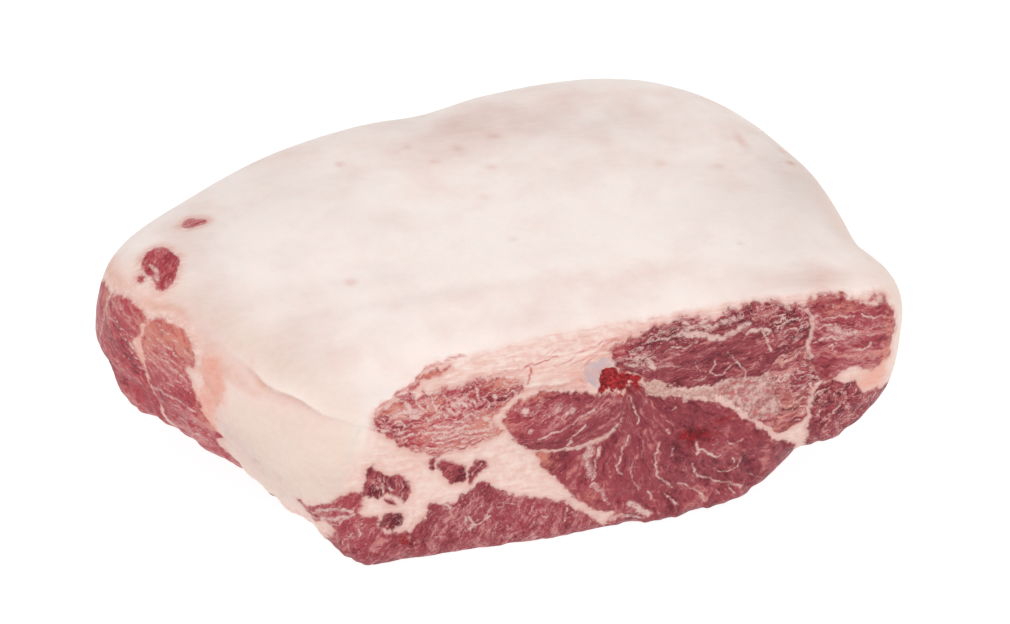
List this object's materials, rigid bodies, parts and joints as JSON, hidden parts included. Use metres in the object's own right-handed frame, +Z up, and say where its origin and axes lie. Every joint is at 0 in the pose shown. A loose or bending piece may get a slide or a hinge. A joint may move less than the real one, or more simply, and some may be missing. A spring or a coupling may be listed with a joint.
{
  "type": "pork butt",
  "caption": "Raw bone-in pork shoulder joint lying fat side up: lean meat under a thick white fat cap, cut across to show muscles, seam fat and the end of the blade bone.",
  "frame": {"origin": "under the middle of the joint, on the surface that it lies on", "axes": "+X along the cut face towards the joint's right end, the cut face looks towards -Y, +Z up out of the fat cap"},
  "size_m": [0.293, 0.1954, 0.0992],
  "materials": {
    "lean": "raw red pork, moist, with white marbling and seams",
    "fat": "raw pinkish white fat, smooth and satin",
    "bone": "sawn bone and cartilage, pink and grainy"
  },
  "bodies": {
    "root": {"lean": "lean", "fat_cap": "fat", "blade_bone": "bone"}
  },
  "joints": []
}
